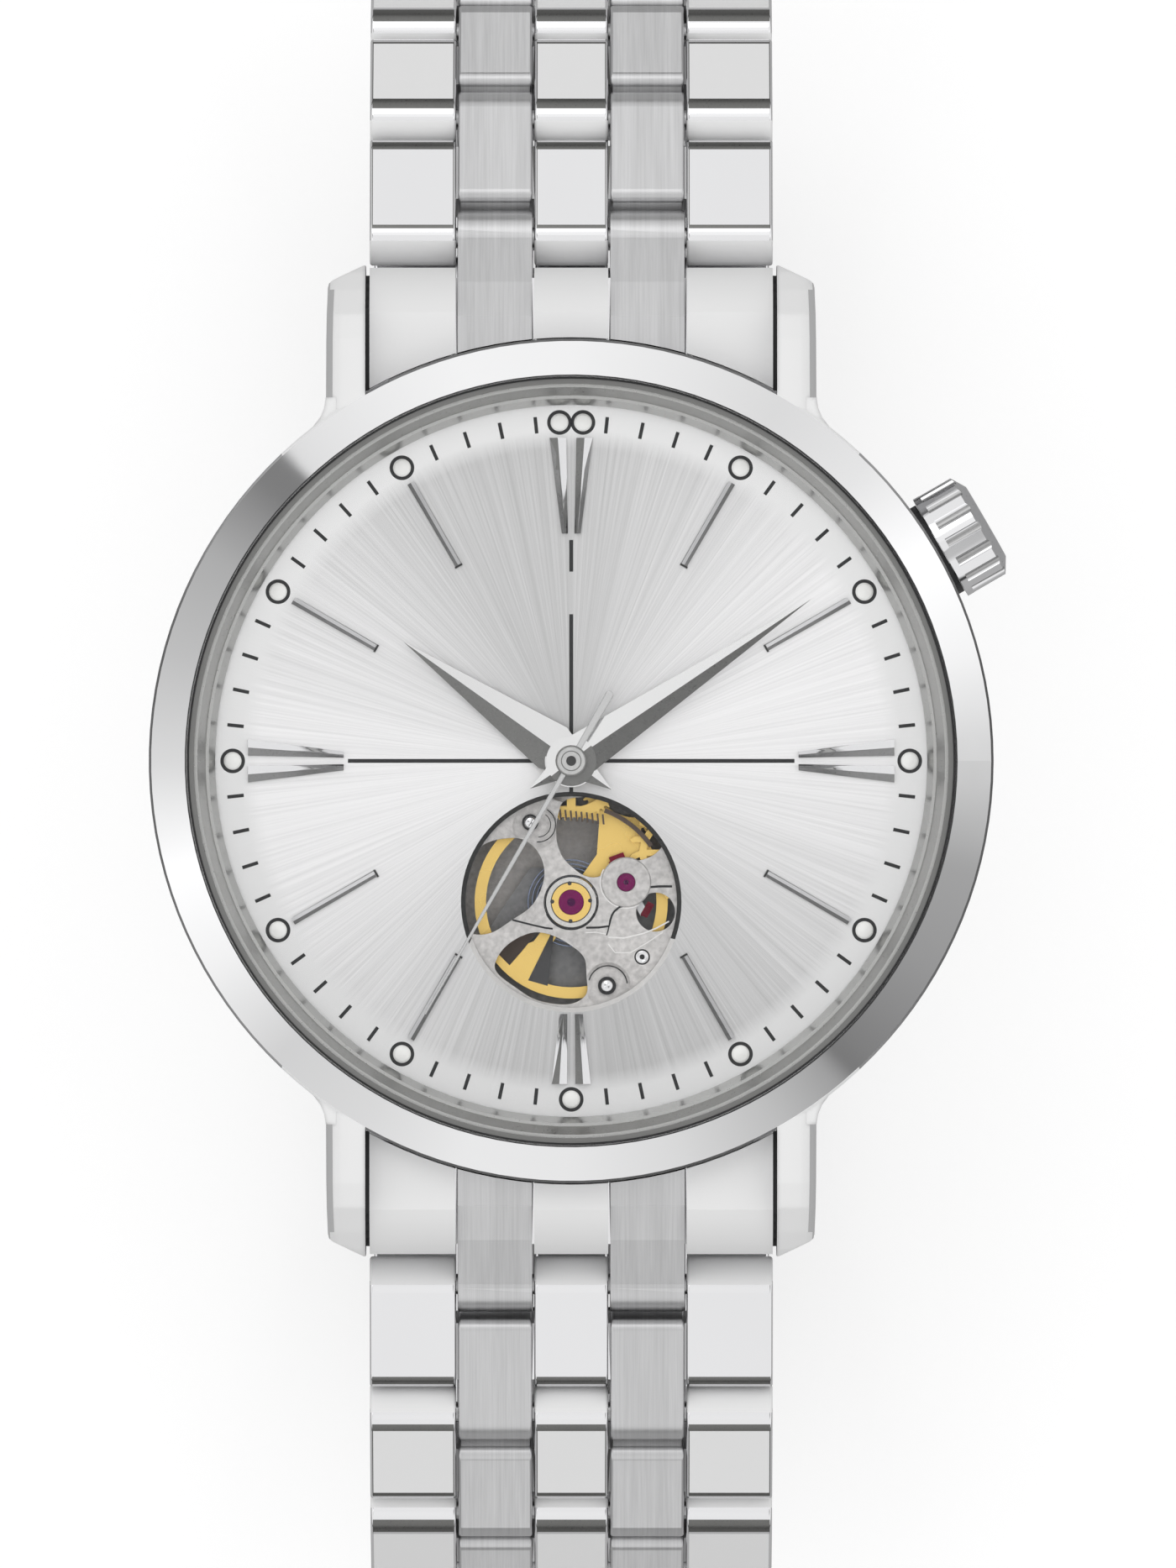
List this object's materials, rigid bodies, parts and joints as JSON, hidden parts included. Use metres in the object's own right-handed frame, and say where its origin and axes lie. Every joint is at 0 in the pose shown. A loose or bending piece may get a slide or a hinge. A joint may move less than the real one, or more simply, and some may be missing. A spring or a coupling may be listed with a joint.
{
  "type": "skeleton wristwatch",
  "caption": "Steel wristwatch with a dial window over the balance, dauphine hands, applied baton markers and a closed link bracelet with a fold-over clasp.",
  "frame": {"origin": "centre of the clasp's flat underside plane, on the hands' axis: the closed bracelet stands on its clasp and the dial faces up", "axes": "+Z out of the dial, +Y towards twelve o'clock, +X towards three o'clock (crown side); bracelet hinges run along X"},
  "size_m": [0.0417, 0.0807, 0.0468],
  "materials": {
    "polished_steel": "polished",
    "satin_steel": "satin",
    "bracelet_steel": "brushed with polished segments",
    "sapphire": "clear",
    "seal": "matte",
    "flange": "satin grey",
    "dial_silver": "sunray silver",
    "marker_steel": "polished",
    "hand_steel": "polished",
    "plate": "fine grained nickel",
    "ruby": "polished",
    "gold": "gilt",
    "holder": "matte",
    "spring_steel": "blued"
  },
  "bodies": {
    "head": {"case_middle": "satin_steel", "crystal": "sapphire", "crystal_gasket": "seal", "dial_flange": "flange", "dial": "dial_silver", "hour_indices": "marker_steel", "main_plate": "plate", "movement_jewels": "ruby", "shock_setting": "gold", "movement_ring": "holder", "train_bridge": "plate", "balance_cock": "plate", "barrel_arbor": "satin_steel", "mainspring": "spring_steel", "hairspring": "spring_steel", "rotor_bearing": "satin_steel", "case_back": "satin_steel", "back_glass": "sapphire", "end_link_12": "bracelet_steel", "end_link_6": "bracelet_steel", "spring_bars": "satin_steel"},
    "hour": {"hour_hand": "hand_steel", "hour_wheel": "gold"},
    "minute": {"minute_hand": "hand_steel", "cannon_pinion": "satin_steel"},
    "seconds": {"second_hand": "hand_steel", "sweep_pinion": "satin_steel"},
    "centre": {"centre_wheel": "gold"},
    "third": {"third_wheel": "gold"},
    "fourth": {"fourth_wheel": "gold"},
    "escape": {"escape_wheel": "gold"},
    "barrel_drum": {"barrel": "plate"},
    "balance": {"balance_wheel": "gold"},
    "pallets": {"pallet_fork": "satin_steel"},
    "rotor_weight": {"rotor": "plate"},
    "crown_seal": {"crown_gasket": "seal"},
    "crown_and_stem": {"crown": "polished_steel", "winding_stem": "satin_steel"},
    "cover": {"clasp_cover": "satin_steel"},
    "long_blade": {"clasp_long_blade": "polished_steel"},
    "short_blade": {"clasp_short_blade": "polished_steel"},
    "button_left": {"clasp_button_left": "polished_steel"},
    "button_right": {"clasp_button_right": "polished_steel"},
    "link_12_1": {"link_12_1": "bracelet_steel"},
    "link_6_1": {"link_6_1": "bracelet_steel"},
    "link_12_2": {"link_12_2": "bracelet_steel"},
    "link_6_2": {"link_6_2": "bracelet_steel"},
    "link_12_3": {"link_12_3": "bracelet_steel"},
    "link_6_3": {"link_6_3": "bracelet_steel"},
    "link_12_4": {"link_12_4": "bracelet_steel"},
    "link_6_4": {"link_6_4": "bracelet_steel"},
    "link_12_5": {"link_12_5": "bracelet_steel"},
    "link_6_5": {"link_6_5": "bracelet_steel"},
    "link_12_6": {"link_12_6": "bracelet_steel"},
    "link_6_6": {"link_6_6": "bracelet_steel"},
    "link_12_7": {"link_12_7": "bracelet_steel"},
    "link_6_7": {"link_6_7": "bracelet_steel"},
    "link_12_8": {"link_12_8": "bracelet_steel"},
    "link_6_8": {"link_6_8": "bracelet_steel"}
  },
  "joints": [
    {"name": "second_hand_turn", "type": "hinge", "parent": "head", "child": "seconds", "pos_m": [0, 0, 0.0447], "axis": [0, 0, -1], "continuous": true},
    {"name": "third_wheel_turn", "type": "hinge", "parent": "head", "child": "third", "pos_m": [0.00316, -0.00056, 0.0402], "axis": [0, 0, -1], "continuous": true},
    {"name": "centre_wheel_turn", "type": "hinge", "parent": "head", "child": "centre", "pos_m": [0, 0, 0.0412], "axis": [0, 0, -1], "continuous": true},
    {"name": "fourth_wheel_turn", "type": "hinge", "parent": "head", "child": "fourth", "pos_m": [0.00616, -0.00165, 0.0402], "axis": [0, 0, -1], "continuous": true},
    {"name": "escape_wheel_turn", "type": "hinge", "parent": "head", "child": "escape", "pos_m": [0.00507, -0.00446, 0.0412], "axis": [0, 0, -1], "continuous": true},
    {"name": "barrel_turn", "type": "hinge", "parent": "head", "child": "barrel_drum", "pos_m": [-0.00485, 0.00485, 0.0407], "axis": [0, 0, -1], "continuous": true},
    {"name": "minute_hand_turn", "type": "hinge", "parent": "head", "child": "minute", "pos_m": [0, 0, 0.0442], "axis": [0, 0, -1], "continuous": true},
    {"name": "hour_hand_turn", "type": "hinge", "parent": "head", "child": "hour", "pos_m": [0, 0, 0.0441], "axis": [0, 0, -1], "continuous": true},
    {"name": "rotor_turn", "type": "hinge", "parent": "head", "child": "rotor_weight", "pos_m": [0, 0, 0.0377], "axis": [0, 0, 1], "continuous": true},
    {"name": "balance_swing", "type": "hinge", "parent": "head", "child": "balance", "pos_m": [0, -0.00687, 0.0408], "axis": [0, 0, 1], "range_deg": [-140, 140], "stiffness_Nm_per_rad": 0.000001},
    {"name": "pallet_rock", "type": "hinge", "parent": "head", "child": "pallets", "pos_m": [0.00267, -0.0059, 0.0417], "axis": [0, 0, 1], "range_deg": [-5, 5]},
    {"name": "crown_pull", "type": "slide", "parent": "head", "child": "crown_seal", "axis": [0.866, 0.5, 0], "range_m": [0, 0.001]},
    {"name": "crown_turn", "type": "hinge", "parent": "crown_seal", "child": "crown_and_stem", "pos_m": [0.01819, 0.0105, 0.0412], "axis": [0.866, 0.5, 0], "continuous": true},
    {"name": "hinge_12_1", "type": "hinge", "parent": "head", "child": "link_12_1", "pos_m": [0, 0.0255, 0.0382], "axis": [1, 0, 0], "range_deg": [0, 32]},
    {"name": "hinge_12_2", "type": "hinge", "parent": "link_12_1", "child": "link_12_2", "pos_m": [0, 0.03133, 0.0351], "axis": [1, 0, 0], "range_deg": [0, 25]},
    {"name": "hinge_12_3", "type": "hinge", "parent": "link_12_2", "child": "link_12_3", "pos_m": [0, 0.03566, 0.03012], "axis": [1, 0, 0], "range_deg": [0, 23]},
    {"name": "hinge_12_4", "type": "hinge", "parent": "link_12_3", "child": "link_12_4", "pos_m": [0, 0.03813, 0.024], "axis": [1, 0, 0], "range_deg": [0, 28]},
    {"name": "hinge_12_5", "type": "hinge", "parent": "link_12_4", "child": "link_12_5", "pos_m": [0, 0.0379, 0.0174], "axis": [1, 0, 0], "range_deg": [0, 28]},
    {"name": "hinge_12_6", "type": "hinge", "parent": "link_12_5", "child": "link_12_6", "pos_m": [0, 0.03501, 0.01147], "axis": [1, 0, 0], "range_deg": [0, 26]},
    {"name": "hinge_12_7", "type": "hinge", "parent": "link_12_6", "child": "link_12_7", "pos_m": [0, 0.0301, 0.00705], "axis": [1, 0, 0], "range_deg": [0, 22]},
    {"name": "hinge_12_8", "type": "hinge", "parent": "link_12_7", "child": "link_12_8", "pos_m": [0, 0.02407, 0.00437], "axis": [1, 0, 0], "range_deg": [0, 20]},
    {"name": "clasp_end_hinge", "type": "hinge", "parent": "link_12_8", "child": "cover", "pos_m": [0, 0.01754, 0.00345], "axis": [1, 0, 0], "range_deg": [0, 20]},
    {"name": "long_blade_hinge", "type": "hinge", "parent": "cover", "child": "long_blade", "pos_m": [0, -0.0154, 0.00275], "axis": [1, 0, 0], "range_deg": [0, 45]},
    {"name": "short_blade_hinge", "type": "hinge", "parent": "long_blade", "child": "short_blade", "pos_m": [0, 0.0096, 0.0033], "axis": [1, 0, 0], "range_deg": [-47, 2]},
    {"name": "button_left_press", "type": "slide", "parent": "cover", "child": "button_left", "axis": [1, 0, 0], "range_m": [0, 0.0003], "stiffness_N_per_m": 1500},
    {"name": "button_right_press", "type": "slide", "parent": "cover", "child": "button_right", "axis": [-1, 0, 0], "range_m": [0, 0.0003], "stiffness_N_per_m": 1500},
    {"name": "hinge_6_1", "type": "hinge", "parent": "head", "child": "link_6_1", "pos_m": [0, -0.0255, 0.0382], "axis": [-1, 0, 0], "range_deg": [0, 22]},
    {"name": "hinge_6_2", "type": "hinge", "parent": "link_6_1", "child": "link_6_2", "pos_m": [0, -0.03178, 0.03616], "axis": [-1, 0, 0], "range_deg": [0, 29]},
    {"name": "hinge_6_3", "type": "hinge", "parent": "link_6_2", "child": "link_6_3", "pos_m": [0, -0.0366, 0.03166], "axis": [-1, 0, 0], "range_deg": [0, 26]},
    {"name": "hinge_6_4", "type": "hinge", "parent": "link_6_3", "child": "link_6_4", "pos_m": [0, -0.03939, 0.02567], "axis": [-1, 0, 0], "range_deg": [0, 25]},
    {"name": "hinge_6_5", "type": "hinge", "parent": "link_6_4", "child": "link_6_5", "pos_m": [0, -0.03985, 0.01909], "axis": [-1, 0, 0], "range_deg": [0, 26]},
    {"name": "hinge_6_6", "type": "hinge", "parent": "link_6_5", "child": "link_6_6", "pos_m": [0, -0.03781, 0.01281], "axis": [-1, 0, 0], "range_deg": [0, 27]},
    {"name": "hinge_6_7", "type": "hinge", "parent": "link_6_6", "child": "link_6_7", "pos_m": [0, -0.03348, 0.00783], "axis": [-1, 0, 0], "range_deg": [0, 25]},
    {"name": "hinge_6_8", "type": "hinge", "parent": "link_6_7", "child": "link_6_8", "pos_m": [0, -0.02766, 0.00473], "axis": [-1, 0, 0], "range_deg": [0, 22]}
  ],
  "couplings": [
    {"joint": "third_wheel_turn", "follows": "second_hand_turn", "ratio": -0.13333},
    {"joint": "centre_wheel_turn", "follows": "second_hand_turn", "ratio": 0.016667},
    {"joint": "fourth_wheel_turn", "follows": "second_hand_turn", "ratio": 1},
    {"joint": "escape_wheel_turn", "follows": "second_hand_turn", "ratio": -10},
    {"joint": "barrel_turn", "follows": "second_hand_turn", "ratio": -0.0025641},
    {"joint": "hour_hand_turn", "follows": "minute_hand_turn", "ratio": 0.083333},
    {"joint": "short_blade_hinge", "follows": "long_blade_hinge", "ratio": -1}
  ]
}
